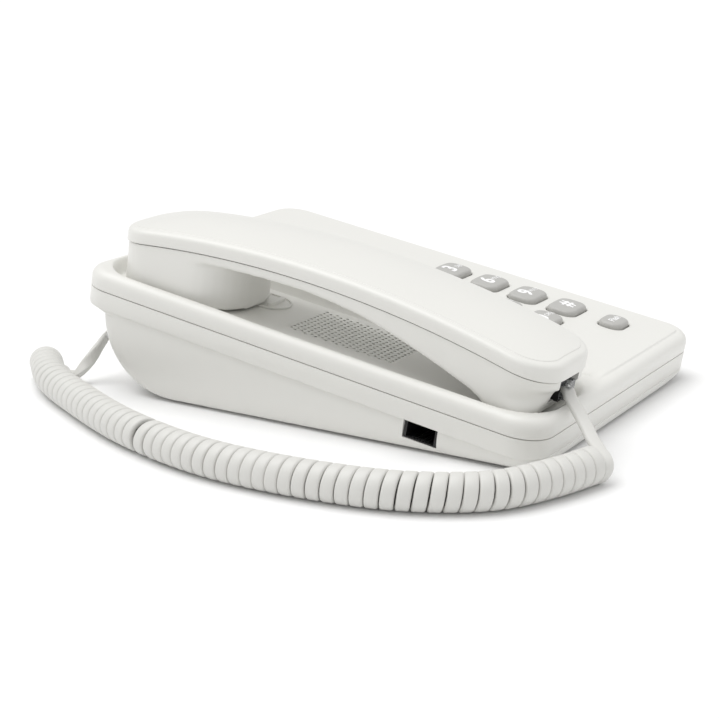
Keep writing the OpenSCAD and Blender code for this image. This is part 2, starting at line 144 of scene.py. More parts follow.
class PhoneStageSettings(bpy.types.PropertyGroup):
    azimuth: bpy.props.FloatProperty(
        name="Azimuth", description="Direction of the camera round the phone, 0 looks along +Y",
        default=math.radians(-59.0977), subtype="ANGLE")
    elevation: bpy.props.FloatProperty(
        name="Elevation", description="Height of the camera above the horizon",
        default=math.radians(16.2187), subtype="ANGLE")
    roll: bpy.props.FloatProperty(
        name="Roll", description="Tilt of the camera about its own axis",
        default=math.radians(0.2367), subtype="ANGLE")
    distance: bpy.props.FloatProperty(
        name="Distance", description="Camera to the aimed point", default=0.6225, unit="LENGTH")
    lens: bpy.props.FloatProperty(
        name="Lens", description="Focal length on a 36 mm sensor, in mm", default=86.14)


# ------------------------------------------------------------------ geometry helpers

def level(points):
    """Sloping-frame millimetres to upright-frame millimetres."""
    p = np.asarray(points, float).reshape(-1, 3)
    c, s = math.cos(SLOPE), math.sin(SLOPE)
    y = SEAM_FRONT.y + p[:, 1] * c - p[:, 2] * s
    z = SEAM_FRONT.z + p[:, 1] * s + p[:, 2] * c
    return np.column_stack([p[:, 0], y, z])


def upright(points):
    """Upright-frame millimetres to shared-frame metres."""
    return (np.asarray(points, float) + [0, CENTRE_Y, 0]) * MM


def sloped(points):
    """Sloping-frame millimetres to shared-frame metres."""
    return upright(level(points))


def smooth(t):
    t = np.clip(t, 0, 1)
    return t * t * (3 - 2 * t)


def inside(x, u, box, r):
    """Signed distance from the outline of a rounded rectangle, positive inside it."""
    x0, x1, u0, u1 = box
    dx = np.abs(x - (x0 + x1) / 2) - (x1 - x0) / 2 + r
    du = np.abs(u - (u0 + u1) / 2) - (u1 - u0) / 2 + r
    outer = np.hypot(np.maximum(dx, 0), np.maximum(du, 0)) + np.minimum(np.maximum(dx, du), 0)
    return r - outer


def arch(u):
    """Height of the handset's seam above the case seam."""
    return HAND_V - ARCH_R + np.sqrt(ARCH_R ** 2 - (np.asarray(u, float) - HAND_MID_U) ** 2)


def stations(*stretches):
    """Coordinates from (start, end, step) stretches that follow each other."""
    parts = [np.linspace(a, b, max(2, int(round(abs(b - a) / step)) + 1)) for a, b, step in stretches]
    return np.unique(np.round(np.concatenate(parts), 6))


def new_object(name, verts, faces, material=None, sharp=30):
    mesh = bpy.data.meshes.new(name)
    mesh.from_pydata([tuple(v) for v in verts], [], [tuple(int(i) for i in f) for f in faces])
    mesh.validate()
    finish_mesh(mesh, sharp)
    obj = bpy.data.objects.new(name, mesh)
    bpy.context.collection.objects.link(obj)
    if material:
        mesh.materials.append(material)
    return obj


def finish_mesh(mesh, sharp=30):
    mesh.shade_smooth()
    mesh.set_sharp_from_angle(angle=math.radians(sharp))
    mesh.update()


def merge(obj, distance=1e-6):
    bm = bmesh.new()
    bm.from_mesh(obj.data)
    bmesh.ops.remove_doubles(bm, verts=bm.verts, dist=distance)
    bmesh.ops.recalc_face_normals(bm, faces=bm.faces)
    bm.to_mesh(obj.data)
    bm.free()


def apply_modifiers(obj, sharp=30):
    """Puts the modifiers' result into the object's own mesh."""
    graph = bpy.context.evaluated_depsgraph_get()
    mesh = bpy.data.meshes.new_from_object(obj.evaluated_get(graph))
    obj.modifiers.clear()
    old = obj.data
    obj.data = mesh
    bpy.data.meshes.remove(old)
    finish_mesh(obj.data, sharp)
    return obj


def tidy_faces(obj):
    """Drops slivers that cutting leaves behind."""
    bm = bmesh.new()
    bm.from_mesh(obj.data)
    bmesh.ops.dissolve_degenerate(bm, edges=bm.edges, dist=2e-6)
    bm.to_mesh(obj.data)
    bm.free()
    finish_mesh(obj.data)


def combine(obj, others, operation, sharp=30):
    """Cuts others out of obj, or joins them to it, and deletes them."""
    for other in others:
        modifier = obj.modifiers.new(other.name, "BOOLEAN")
        modifier.operation = operation
        modifier.object = other
        modifier.solver = "MANIFOLD"
    apply_modifiers(obj, sharp)
    for other in others:
        mesh = other.data
        bpy.data.objects.remove(other)
        bpy.data.meshes.remove(mesh)
    return obj


def join(name, objects):
    """One object from several, at the origin."""
    bm = bmesh.new()
    materials = []
    for obj in objects:
        start = len(bm.faces)
        bm.from_mesh(obj.data)
        bm.faces.ensure_lookup_table()
        for material in obj.data.materials:
            if material not in materials:
                materials.append(material)
        for face in bm.faces[start:]:
            face.material_index = materials.index(obj.data.materials[face.material_index])
    mesh = bpy.data.meshes.new(name)
    bm.to_mesh(mesh)
    bm.free()
    for material in materials:
        mesh.materials.append(material)
    for obj in objects:
        bpy.data.objects.remove(obj)
    finish_mesh(mesh)
    made = bpy.data.objects.new(name, mesh)
    bpy.context.collection.objects.link(made)
    return made


class Outline:
    """Rounded rectangle in the sloping frame whose rings share one point count."""

    def __init__(self, box, r, xs=None, us=None, arc=10):
        self.box, self.r, self.arc = box, r, arc
        x0, x1, u0, u1 = box
        self.xs = stations((x0 + r, x1 - r, 4)) if xs is None else xs
        self.us = stations((u0 + r, u1 - r, 4)) if us is None else us

    def ring(self, d):
        """Points (x, u) of the outline drawn in by d, counterclockwise from above."""
        x0, x1, u0, u1 = self.box
        r, xs, us = self.r, self.xs, self.us
        corners = [((x1 - r, u0 + r), -90), ((x1 - r, u1 - r), 0), ((x0 + r, u1 - r), 90), ((x0 + r, u0 + r), 180)]
        sides = [[(x, u0 + d) for x in xs], [(x1 - d, u) for u in us],
                 [(x, u1 - d) for x in xs[::-1]], [(x0 + d, u) for u in us[::-1]]]
        points = []
        for side, ((cx, cu), start) in zip(sides, corners):
            points += side
            for k in range(1, self.arc):
                a = math.radians(start + 90 * k / self.arc)
                points.append((cx + (r - d) * math.cos(a), cu + (r - d) * math.sin(a)))
        return np.array(points)

    def core_index(self):
        """For each ring point, its row and column in the core grid that the innermost ring meets."""
        nx, nu, arc = len(self.xs), len(self.us), self.arc
        index = [(i, 0) for i in range(nx)] + [(nx - 1, 0)] * (arc - 1)
        index += [(nx - 1, j) for j in range(nu)] + [(nx - 1, nu - 1)] * (arc - 1)
        index += [(i, nu - 1) for i in range(nx - 1, -1, -1)] + [(0, nu - 1)] * (arc - 1)
        index += [(0, j) for j in range(nu - 1, -1, -1)] + [(0, 0)] * (arc - 1)
        return index

    def dome(self, rings, height, first=0):
        """Vertices and faces of rings (inset, height or None) closed by the core grid.

        A ring with no height of its own, and the core, take theirs from height(x, u)."""
        verts, faces = [], []
        n = len(self.ring(0))
        for d, v in rings:
            p = self.ring(d)
            if v is None:
                v = height(p[:, 0], p[:, 1])
            elif callable(v):
                v = v(p[:, 0], p[:, 1])
            verts += list(np.column_stack([p, np.broadcast_to(v, len(p))]))
        for k in range(len(rings) - 1):
            for i in range(n):
                j = (i + 1) % n
                faces.append((k * n + i, k * n + j, (k + 1) * n + j, (k + 1) * n + i))
        nx, nu = len(self.xs), len(self.us)
        base = len(verts)
        gx, gu = np.meshgrid(self.xs, self.us, indexing="ij")
        verts += list(np.column_stack([gx.ravel(), gu.ravel(), height(gx.ravel(), gu.ravel())]))
        core = [base + i * nu + j for i, j in self.core_index()]
        last = (len(rings) - 1) * n
        for i in range(n):
            j = (i + 1) % n
            face = [last + i, last + j, core[j], core[i]]
            faces.append(face if core[i] != core[j] else face[:3])
        for i in range(nx - 1):
            for j in range(nu - 1):
                a = base + i * nu + j
                faces.append((a, a + nu, a + nu + 1, a + 1))
        return np.array(verts), [tuple(first + k for k in f) for f in faces]


def shell(name, outline, outer, outer_height, inner, inner_height, material, sharp=30):
    """Closed shell from an outer and an inner dome, joined round their first rings."""
    top, top_faces = outline.dome(outer, outer_height)
    under, under_faces = outline.dome(inner, inner_height, first=len(top))
    n = len(outline.ring(0))
    faces = top_faces + [f[::-1] for f in under_faces]
    for i in range(n):
        j = (i + 1) % n
        faces.append((j, i, len(top) + i, len(top) + j))
    return new_object(name, sloped(np.vstack([top, under])), faces, material, sharp)


def prism(name, outline_points, levels, material=None, place=sloped, sharp=30):
    """Closed stack of rings: levels are (inset, height) of one outline."""
    verts, faces = [], []
    n = len(outline_points(0))
    for d, v in levels:
        p = outline_points(d)
        verts += list(np.column_stack([p, np.full(n, v)]))
    for k in range(len(levels) - 1):
        for i in range(n):
            j = (i + 1) % n
            faces.append((k * n + i, k * n + j, (k + 1) * n + j, (k + 1) * n + i))
    faces.append(tuple(range(n))[::-1])
    faces.append(tuple(range((len(levels) - 1) * n, len(levels) * n)))
    return new_object(name, place(verts), faces, material, sharp)


def rounded_block(name, box, r, v0, v1, edge=0.0, material=None, place=sloped):
    """Upright block with round corners, its top edge rolled over by edge."""
    outline = Outline(box, r, xs=np.array([box[0] + r, box[1] - r]), us=np.array([box[2] + r, box[3] - r]), arc=8)
    quarter = np.linspace(0, math.pi / 2, 5) if edge else [0]
    roll = [(edge * (1 - math.cos(a)), edge * (1 - math.sin(a))) for a in quarter]
    return prism(name, outline.ring, [(0, v0)] + [(d, v1 - h) for d, h in roll], material, place)


def disc_points(cx, cu, r, n=32):
    a = np.linspace(0, 2 * math.pi, n, endpoint=False)
    return lambda d: np.column_stack([cx + (r - d) * np.cos(a), cu + (r - d) * np.sin(a)])


def perforation_tree(material):
    """Node tree that sets round punches on a staggered grid, or on the part of it inside a circle."""
    tree = bpy.data.node_groups.new("perforation", "GeometryNodeTree")
    face = tree.interface
    face.new_socket("Geometry", in_out="INPUT", socket_type="NodeSocketGeometry")
    for name, kind, value in (("Columns", "Int", 12), ("Rows", "Int", 20), ("Column spacing", "Float", 2.35),
                              ("Row spacing", "Float", 2.35), ("Stagger", "Float", 0.5), ("Radius", "Float", 0.68),
                              ("Reach", "Float", 100.0), ("Depth", "Float", 8.0)):
        face.new_socket(name, in_out="INPUT", socket_type="NodeSocket" + kind).default_value = value
    face.new_socket("Geometry", in_out="OUTPUT", socket_type="NodeSocketGeometry")
    nodes, link = tree.nodes, tree.links.new

    def node(kind, **values):
        made = nodes.new(kind)
        for key, value in values.items():
            setattr(made, key, value)
        return made

    def maths(operation, a, b):
        made = node("ShaderNodeMath", operation=operation)
        for socket, value in zip(made.inputs, (a, b)):
            if isinstance(value, (int, float)):
                socket.default_value = value
            else:
                link(value, socket)
        return made.outputs[0]

    given = node("NodeGroupInput").outputs
    grid = node("GeometryNodeMeshGrid")
    link(given["Columns"], grid.inputs["Vertices X"])
    link(given["Rows"], grid.inputs["Vertices Y"])
    link(maths("MULTIPLY", maths("SUBTRACT", given["Columns"], 1), given["Column spacing"]), grid.inputs["Size X"])
    link(maths("MULTIPLY", maths("SUBTRACT", given["Rows"], 1), given["Row spacing"]), grid.inputs["Size Y"])
    odd = maths("MODULO", node("GeometryNodeInputIndex").outputs[0], 2)
    shift = node("ShaderNodeCombineXYZ")
    link(maths("MULTIPLY", maths("MULTIPLY", maths("SUBTRACT", odd, 0.5), given["Column spacing"]), given["Stagger"]),
         shift.inputs["X"])
    move = node("GeometryNodeSetPosition")
    link(grid.outputs["Mesh"], move.inputs["Geometry"])
    link(shift.outputs[0], move.inputs["Offset"])
    far = node("ShaderNodeVectorMath", operation="LENGTH")
    link(node("GeometryNodeInputPosition").outputs[0], far.inputs[0])
    outside = node("FunctionNodeCompare", operation="GREATER_THAN")
    link(far.outputs["Value"], outside.inputs["A"])
    link(given["Reach"], outside.inputs["B"])
    trim = node("GeometryNodeDeleteGeometry")
    link(move.outputs[0], trim.inputs["Geometry"])
    link(outside.outputs[0], trim.inputs["Selection"])
    punch = node("GeometryNodeMeshCylinder")
    punch.inputs["Vertices"].default_value = 12
    link(given["Radius"], punch.inputs["Radius"])
    link(given["Depth"], punch.inputs["Depth"])
    place = node("GeometryNodeInstanceOnPoints")
    link(trim.outputs[0], place.inputs["Points"])
    link(punch.outputs["Mesh"], place.inputs["Instance"])
    real = node("GeometryNodeRealizeInstances")
    link(place.outputs[0], real.inputs[0])
    # Every punch carries the darkened hole material, so the walls it cuts show painted shade
    paint = node("GeometryNodeSetMaterial")
    paint.inputs["Material"].default_value = material
    link(real.outputs[0], paint.inputs["Geometry"])
    link(paint.outputs[0], node("NodeGroupOutput").inputs[0])
    return tree


def punches(name, centre, **values):
    """Baked punches in the sloping frame, centred on (x, u, v)."""
    # The punches bring the darkened hole material: painted shade on the walls of the holes they cut
    tree = bpy.data.node_groups.get("perforation") or perforation_tree(materials()["hole"])
    obj = new_object(name, [(0, 0, 0)], [])
    modifier = obj.modifiers.new("perforation", "NODES")
    modifier.node_group = tree
    for socket in tree.interface.items_tree:
        if socket.in_out == "INPUT" and socket.name in values:
            modifier[socket.identifier] = values[socket.name]
    obj.update_tag()
    apply_modifiers(obj)
    points = np.array([v.co[:] for v in obj.data.vertices]) + np.array(centre)
    obj.data.vertices.foreach_set("co", sloped(points).ravel())
    obj.data.update()
    return obj


# ------------------------------------------------------------------ materials

def shader(name, colour, roughness, **sockets):
    material = bpy.data.materials.new(name)
    material.use_nodes = True
    principled = material.node_tree.nodes["Principled BSDF"]
    principled.inputs["Base Color"].default_value = (*colour, 1)
    principled.inputs["Roughness"].default_value = roughness
    for socket, value in sockets.items():
        principled.inputs[socket.replace("_", " ")].default_value = value
    return material, material.node_tree, principled


def object_noise(tree, scale, detail=3.0):
    coordinates = tree.nodes.new("ShaderNodeTexCoord")
    noise = tree.nodes.new("ShaderNodeTexNoise")
    noise.inputs["Scale"].default_value = scale
    noise.inputs["Detail"].default_value = detail
    tree.links.new(coordinates.outputs["Object"], noise.inputs["Vector"])
    return noise


def ramp(tree, source, low, high):
    node = tree.nodes.new("ShaderNodeMapRange")
    node.inputs["To Min"].default_value = low
    node.inputs["To Max"].default_value = high
    tree.links.new(source, node.inputs["Value"])
    return node.outputs["Result"]


def tint(tree, source, colour, spread):
    """Colour that varies gently round the one given."""
    node = tree.nodes.new("ShaderNodeValToRGB")
    node.color_ramp.elements[0].color = (*[c * (1 - spread) for c in colour], 1)
    node.color_ramp.elements[1].color = (*[min(1, c * (1 + spread)) for c in colour], 1)
    tree.links.new(source, node.inputs["Fac"])
    return node.outputs["Color"]


def grain(tree, principled, scale, strength, distance):
    noise = object_noise(tree, scale)
    bump = tree.nodes.new("ShaderNodeBump")
    bump.inputs["Strength"].default_value = strength
    bump.inputs["Distance"].default_value = distance
    tree.links.new(noise.outputs["Fac"], bump.inputs["Height"])
    tree.links.new(bump.outputs["Normal"], principled.inputs["Normal"])


def moulded(name, colour, roughness, grain_scale=2600, grain_strength=0.05, spread=0.012, **sockets):
    """Moulded plastic: fine spark-eroded grain, faint tone and gloss variation."""
    material, tree, principled = shader(name, colour, roughness, **sockets)
    broad = object_noise(tree, 22)
    tree.links.new(tint(tree, broad.outputs["Fac"], colour, spread), principled.inputs["Base Color"])
    fine = object_noise(tree, 300)
    tree.links.new(ramp(tree, fine.outputs["Fac"], roughness - 0.04, roughness + 0.04), principled.inputs["Roughness"])
    grain(tree, principled, grain_scale, grain_strength, 0.0002)
    return material


def brushed(name, colour, roughness):
    material, tree, principled = shader(name, colour, roughness, Metallic=1.0)
    noise = object_noise(tree, 900)
    tree.links.new(ramp(tree, noise.outputs["Fac"], roughness - 0.08, roughness + 0.1), principled.inputs["Roughness"])
    grain(tree, principled, 1800, 0.08, 0.0002)
    return material


_materials = {}


def materials():
    """All finishes, made once."""
    if _materials:
        return _materials
    colours = bpy.context.scene.phone_colours
    _materials.update(
        case=moulded("white_abs", colours.case, 0.34),
        keys=moulded("key_plastic", colours.keys, 0.42, grain_strength=0.08),
        # Hole walls: the case colour darkened to three tenths, painted shade for the inside of punched holes
        hole=moulded("hole_wall", [0.3 * c for c in colours.case], 0.6),
        legends=moulded("legend_ink", colours.legends, 0.5),
        cord=moulded("cord_pvc", colours.cord, 0.45, grain_scale=900, grain_strength=0.1),
        silicone=moulded("silicone", (0.45, 0.45, 0.44), 0.6),
        rubber=moulded("foot_rubber", (0.04, 0.04, 0.04), 0.8, grain_scale=1200, grain_strength=0.3),
        board=moulded("solder_mask", (0.03, 0.14, 0.05), 0.35),
        steel=brushed("zinc_steel", (0.62, 0.63, 0.64), 0.32),
        gold=brushed("contact_gold", (0.85, 0.60, 0.25), 0.25),
        dark=moulded("black_abs", (0.012, 0.012, 0.012), 0.4),
        clear=moulded("clear_polycarbonate", (0.93, 0.95, 0.96), 0.08, spread=0.005, Transmission_Weight=0.9, IOR=1.55),
    )
    return _materials


# ------------------------------------------------------------------ stage

class PHONE_OT_stage(bpy.types.Operator):
    """Makes the camera, the pale floor and the soft studio light"""
    bl_idname = "phone.stage"
    bl_label = "Stage"

    def execute(self, context):
        settings = context.scene.phone_stage
        a, e = settings.azimuth, settings.elevation
        back = Vector((math.sin(a) * math.cos(e), -math.cos(a) * math.cos(e), math.sin(e)))
        aim = Vector((-0.0691, -0.0259, 0.030))
        data = bpy.data.cameras.new("camera")
        data.lens = settings.lens
        data.sensor_width = 36
        data.clip_start = 0.01
        camera = bpy.data.objects.new("camera", data)
        context.collection.objects.link(camera)
        camera.location = aim + back * settings.distance
        turn = (-back).to_track_quat("-Z", "Y").to_matrix() @ Matrix.Rotation(settings.roll, 3, "Z")
        camera.rotation_euler = turn.to_euler()
        context.scene.camera = camera
        context.scene.view_settings.view_transform = "Standard"
        self.floor(context)
        self.lights(context)
        return {"FINISHED"}

    def floor(self, context):
        material, tree, principled = shader("pale_floor", (0.93, 0.93, 0.93), 0.9)
        half = 8.0
        floor = new_object("floor", [(-half, -half, 0), (half, -half, 0), (half, half, 0), (-half, half, 0)],
                           [(0, 1, 2, 3)], material)

    def lights(self, context):
        world = bpy.data.worlds.new("studio")
        world.use_nodes = True
        world.node_tree.nodes["Background"].inputs["Color"].default_value = (1, 1, 1, 1)
        world.node_tree.nodes["Background"].inputs["Strength"].default_value = 0.62
        context.scene.world = world
        for name, toward, softness, power in (("key_light", (-0.12, 0.30, 1.0), 55, 1.75),
                                              ("fill_light", (0.9, -0.6, 0.7), 60, 0.25)):
            data = bpy.data.lights.new(name, "SUN")
            data.angle = math.radians(softness)
            data.energy = power
            light = bpy.data.objects.new(name, data)
            context.collection.objects.link(light)
            light.rotation_euler = Vector(toward).to_track_quat("Z", "Y").to_euler()


# ------------------------------------------------------------------ cord

def spline(points, step):
    """Points every step along a smooth curve through the given ones (centripetal Catmull-Rom)."""
    p = np.asarray(points, float)
    p = np.vstack([2 * p[0] - p[1], p, 2 * p[-1] - p[-2]])
    out = []
    for i in range(1, len(p) - 2):
        p0, p1, p2, p3 = p[i - 1:i + 3]
        t1 = np.linalg.norm(p1 - p0) ** 0.5
        t2 = t1 + np.linalg.norm(p2 - p1) ** 0.5
        t3 = t2 + np.linalg.norm(p3 - p2) ** 0.5
        for t in np.linspace(t1, t2, 24, endpoint=False):
            a1 = (t1 - t) / t1 * p0 + t / t1 * p1
            a2 = (t2 - t) / (t2 - t1) * p1 + (t - t1) / (t2 - t1) * p2
            a3 = (t3 - t) / (t3 - t2) * p2 + (t - t2) / (t3 - t2) * p3
            b1 = (t2 - t) / t2 * a1 + t / t2 * a2
            b2 = (t3 - t) / (t3 - t1) * a2 + (t - t1) / (t3 - t1) * a3
            out.append((t2 - t) / (t2 - t1) * b1 + (t - t1) / (t2 - t1) * b2)
    out.append(p[-2])
    return evenly(np.array(out), step)


def evenly(p, step):
    lengths = np.concatenate([[0], np.cumsum(np.linalg.norm(np.diff(p, axis=0), axis=1))])
    n = max(2, int(round(lengths[-1] / step)) + 1)
    s = np.linspace(0, lengths[-1], n)
    return np.column_stack([np.interp(s, lengths, p[:, k]) for k in range(3)])


def unit(v):
    return v / np.linalg.norm(v, axis=-1, keepdims=True)


def helix(axis, coil_r, pitch, per_turn=26):
    """Centreline of the curly stretch round a level axis, with the direction across the flat cord.

    The count of turns ends in a quarter, so the last one leaves along the underside."""
    lengths = np.concatenate([[0], np.cumsum(np.linalg.norm(np.diff(axis, axis=0), axis=1))])
    turns = math.floor(lengths[-1] / pitch) + 0.25
    n = int(turns * per_turn)
    k = np.linspace(0, 1, n)
    wander = 0.05 * np.sin(2 * math.pi * 3.3 * k) + 0.04 * np.sin(2 * math.pi * 7.7 * k + 1)
    slack = COIL_GAP * (smooth((k - COIL_GAP_AT) / 0.017) - k)
    settled = smooth(k / 0.05) * smooth((1 - k) / 0.05)
    s = np.clip(k * lengths[-1] + (wander + slack) * pitch * settled, 0, lengths[-1])
    centre = np.column_stack([np.interp(s, lengths, axis[:, i]) for i in range(3)])
    along = unit(np.gradient(axis, axis=0))
    along = unit(np.column_stack([np.interp(s, lengths, along[:, i]) for i in range(3)]))
    up = np.array([0, 0, 1.0])
    side = unit(np.cross(up, along))
    angle = 2 * math.pi * turns * k
    radial = side * np.cos(angle)[:, None] - up * np.sin(angle)[:, None]
    return centre + radial * coil_r, along


def turning(directions, places, n):
    """n directions that swing smoothly from one of those given to the next."""
    t = np.linspace(0, 1, n)
    return unit(np.column_stack([np.interp(t, places, np.array(directions)[:, k]) for k in range(3)]))


def ribbon(name, path, across, width, thickness, material):
    """Flat cord with round edges, swept along path with its width along across."""
    tangent = unit(np.gradient(path, axis=0))
    across = unit(across - tangent * np.sum(across * tangent, axis=1)[:, None])
    flat = np.cross(tangent, across)
    r = thickness * 0.36
    section = [(sa * (width / 2 - r) + r * math.cos(a), sb * (thickness / 2 - r) + r * math.sin(a))
               for sa, sb, start in ((1, 1, 0), (-1, 1, 90), (-1, -1, 180), (1, -1, 270))
               for a in np.radians([start, start + 45, start + 90])]
    m = len(section)
    verts = np.stack([path + a * across + b * flat for a, b in section], axis=1).reshape(-1, 3)
    verts[:, 2] = np.maximum(verts[:, 2], 0.0)
    faces = []
    for i in range(len(path) - 1):
        for j in range(m):
            k = (j + 1) % m
            faces.append((i * m + j, (i + 1) * m + j, (i + 1) * m + k, i * m + k))
    faces.append(tuple(range(m)))
    faces.append(tuple(range((len(path) - 1) * m, len(path) * m))[::-1])
    obj = new_object(name, upright(verts), faces, material, sharp=60)
    merge(obj)
    finish_mesh(obj.data, 60)
    return obj


class PHONE_OT_cord(bpy.types.Operator):
    """Makes the flat curly handset cord in one length, from handset plug to base plug"""
    bl_idname = "phone.cord"
    bl_label = "Handset cord"

    def execute(self, context):
        settings = context.scene.phone_cord
        width, thickness = settings.width / MM, settings.thickness / MM
        axis = spline(COIL, 1.0)
        turns, axis_direction = helix(axis, settings.coil / MM / 2 - thickness / 2, settings.pitch / MM)
        lead = spline(LEAD + [tuple(turns[0])], 1.0)[:-1]
        tail = spline([tuple(turns[-1])] + TAIL, 1.0)[1:]
        path = np.vstack([lead, turns, tail])
        first, last = -axis_direction[0], -axis_direction[-1]
        facing = np.array([0.6, -0.8, 0])
        across = np.vstack([turning([X_AXIS, facing, facing, first], (0, 0.15, 0.6, 1), len(lead)), -axis_direction,
                            turning([last, last, X_AXIS, X_AXIS], (0, 0.3, 0.8, 1), len(tail))])
        for _ in range(3):
            for join_at in (len(lead), len(lead) + len(turns)):
                for i in range(join_at - 4, join_at + 4):
                    path[i] = (path[i - 1] + 2 * path[i] + path[i + 1]) / 4
        cord = ribbon("handset_cord", path, across, width, thickness, materials()["cord"])
        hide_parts("cord_lead", "cord_coil", "cord_tail")
        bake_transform(cord)
        path = [tuple(p) for p in upright(path)]
        return {"FINISHED"}


# ------------------------------------------------------------------ case

TRAY = (-71.2, -17.6, 3.0, 199.0)
TRAY_R = 19.0
FLOOR_V = 2.4
FIELD = (-15.6, 70.2, 4.8, 197.6)
FIELD_R = 9.0


def face_height(x, u):
    """Height of the upper case: rim, raised keypad field, handset trough and grille recess."""
    field = inside(x, u, FIELD, FIELD_R)
    v = RIM_V + (FACE_V - RIM_V) * smooth((field + 0.3) / 0.7)
    depth = inside(x, u, TRAY, TRAY_R)
    middle = smooth((u - 40) / 25) * (1 - smooth((u - 118) / 18))
    left = smooth((-52 - x) / 14)
    width = 4.6 + left * (-1.6 + 5.5 * middle)
    t = np.clip(depth / width, 0, 1)
    bowl = smooth(t) * (1 - middle * left) + (1 - (1 - t) ** 2.2) * middle * left
    v = v - (v - FLOOR_V) * bowl
    v = v - 0.45 * smooth(inside(x, u, GRILLE, 3.0) / 1.0)
    return v


def case_outline():
    x0, x1, u0, u1 = CASE
    r = CASE_R
    xs = stations((x0 + r, -50, 1.0), (-50, -26, 1.4), (-26, -17, 0.8), (-17, -14, 0.35), (-14, x1 - r, 5))
    us = stations((u0 + r, 30, 1.2), (30, 64, 1.8), (64, 72, 0.8), (72, 114, 2.0), (114, 122, 0.8),
                  (122, 170, 2.0), (170, u1 - r, 1.2))
    return Outline(CASE, r, xs, us, arc=12)


def key_places():
    """Each number key's name and middle (x, u)."""
    names = ["star", "0", "hash", "7", "8", "9", "4", "5", "6", "1", "2", "3"]
    return [(name, KEY_X[k % 3], KEY_U + KEY_PITCH * (k // 3)) for k, name in enumerate(names)]


def function_places():
    return [("redial", KEY_X[0], FUNCTION_U), ("flash", KEY_X[2], FUNCTION_U)]


def key_cutters():
    cutters = []
    places = [(*place, KEY_SIZE) for place in key_places()]
    places += [(*place, FUNCTION_SIZE) for place in function_places()]
    gap, r = 0.35, 4.2
    for name, x, u, (w, d) in places:
        box = (x - w / 2 - gap, x + w / 2 + gap, u - d / 2 - gap, u + d / 2 + gap)
        outline = Outline(box, r, xs=np.array([box[0] + r, box[1] - r]), us=np.array([box[2] + r, box[3] - r]), arc=8)
        levels = [(0, -2), (0, FACE_V - 0.45), (-0.25, FACE_V - 0.15), (-0.7, FACE_V + 0.3)]
        cutters.append(prism("cut_" + name, outline.ring, levels))
    return cutters


class PHONE_OT_upper_case(bpy.types.Operator):
    """Makes the upper case with its trough, rim, keypad field, key openings and perforated grille"""
    bl_idname = "phone.upper_case"
    bl_label = "Upper case"

    def execute(self, context):
        outline = case_outline()
        roll = 4.0
        outer = [(0.9, 0.1), (0.1, 0.2), (0, 0.45), (0, RIM_V - roll)]
        outer += [(roll * (1 - math.cos(a)), RIM_V - roll * (1 - math.sin(a)))
                  for a in np.linspace(0, math.pi / 2, 9)[1:-1]]
        outer += [(d, None) for d in (4.0, 4.4, 4.7, 4.95, 5.2, 5.6, *np.arange(6.2, CASE_R - 0.3, 0.75))]
        inner = [(1.4, 0.12), (WALL, 0.12), (WALL, 3.0), (3.4, 4.4),
                 (CASE_R - 1, lambda x, u: face_height(x, u) - WALL)]
        top = shell("upper_case", outline, outer, face_height, inner,
                    lambda x, u: face_height(x, u) - WALL, materials()["case"])
        cutters = key_cutters()
        cutters.append(prism("cut_plunger", disc_points(-56, 166, 3.2), [(0, -2), (0, 6)]))
        cutters.append(rounded_block("cut_tab", (TAB[0] - 2.2, TAB[0] + 2.2, TAB[1] + 2.8, TAB[1] + 12.2), 2.19, -2, 6))
        cutters.append(punches("cut_grille", (-38.4, 95.1, 2)))
        combine(top, cutters, "DIFFERENCE")
        tidy_faces(top)
        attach(top, "base")
        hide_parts("top_shell", "speaker_grille")
        return {"FINISHED"}


REAR_Y = 95.35
FLOOR_Z = 1.2
POSTS = ((-65, -20), (-65, 48), (24, -62.7), (24, 40))
FEET = ((-62, -84), (24, -84), (-62, 54), (24, 54))
KEYHOLES = ((-20, -50), (-20, 50))


def lower_rings(g):
    """Rings of the lower case drawn in by g, from under the seam to its flat floor, upright mm."""
    outline = Outline(CASE, CASE_R, arc=12)
    n = len(outline.ring(0))
    plan = Outline((-73.8, 73.8, -97.4, REAR_Y), 11.8, outline.xs * 73.8 / 75,
                   np.linspace(-97.4 + 11.8, REAR_Y - 11.8, len(outline.us)), arc=12)
    foot = Outline((-70.8, 33.0, -96.4, 67.0), 10.0, np.linspace(-60.8, 23, len(outline.xs)),
                   np.linspace(-86.4, 57, len(outline.us)), arc=12)
    wall, floor = plan.ring(g), foot.ring(g)
    middle = np.array([0, (REAR_Y - 97.4) / 2])
    corner = np.clip((np.abs(wall - middle) - [55, 78]) / [18.8 - g, 18.4 - g], 0, 1)
    rear = corner[:, 1] * (wall[:, 1] > middle[1])
    right = corner[:, 0] * (wall[:, 0] > 0) * (1 - rear)

    def lip(v):
        """Height of the plane at v in the sloping frame over the wall."""
        return SEAM_FRONT.z + (wall[:, 1] - SEAM_FRONT.y) * math.tan(SLOPE) + v / math.cos(SLOPE)

    start = lip(LIP_V - 0.5 - 2.8 * rear) + g
    turn = np.minimum(start, start + (29.2 - start) * rear + (20 - start) * right * (start > 20))
    rings = [np.column_stack([wall, start]), np.column_stack([wall, start * 0.5 + turn * 0.5])]
    power = 2.0 + 0.3 * right
    for a in np.linspace(0, math.pi / 2, 19):
        t = 1 - math.cos(a) ** (2 / power)
        h = math.sin(a) ** (2 / power)
        xy = wall + (floor - wall) * t[:, None]
        rings.append(np.column_stack([xy, turn + (FLOOR_Z + g - turn) * h]))
    return outline, n, rings


